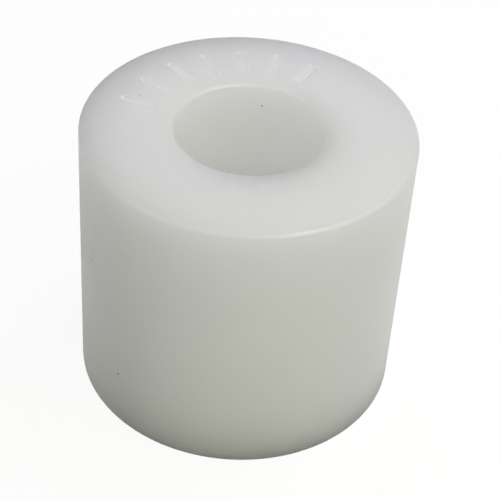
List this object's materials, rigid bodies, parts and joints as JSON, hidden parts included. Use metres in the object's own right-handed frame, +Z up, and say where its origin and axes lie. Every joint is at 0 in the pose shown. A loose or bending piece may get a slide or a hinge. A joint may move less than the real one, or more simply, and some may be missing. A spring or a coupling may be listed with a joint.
{
  "type": "spacer washer",
  "caption": "Short thick-walled plastic tube with flat end faces and a plain bore, which holds two parts apart on a bolt.",
  "frame": {"origin": "centre of the lower end face, on the axis of the bore", "axes": "+Z up the bore; X and Y lie across it, and the part is round, so neither is special"},
  "size_m": [0.028, 0.028, 0.025],
  "materials": {
    "natural_plastic": "satin"
  },
  "bodies": {
    "root": {"spacer": "natural_plastic"}
  },
  "joints": []
}
